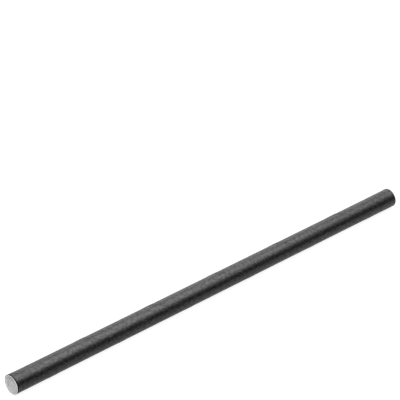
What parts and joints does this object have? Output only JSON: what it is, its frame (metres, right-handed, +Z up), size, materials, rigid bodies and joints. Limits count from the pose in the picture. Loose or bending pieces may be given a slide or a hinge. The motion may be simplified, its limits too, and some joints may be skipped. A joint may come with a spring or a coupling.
{
  "type": "paper drinking straw",
  "caption": "Straight round paper drinking straw, spirally wound from glued paper strips, black outside and white inside, with square-cut open ends.",
  "frame": {"origin": "on the surface that the straw lies on, under the middle of its length", "axes": "+X along the straw, +Z up, -X end is the open end nearest the camera in the picture"},
  "size_m": [0.21, 0.008, 0.0081],
  "materials": {
    "black_paper": "matte uncoated paper, dyed black",
    "middle_paper": "matte uncoated white paper",
    "white_paper": "matte uncoated white paper"
  },
  "bodies": {
    "root": {"outer_ply": "black_paper", "middle_ply": "middle_paper", "inner_ply": "white_paper"}
  },
  "joints": []
}
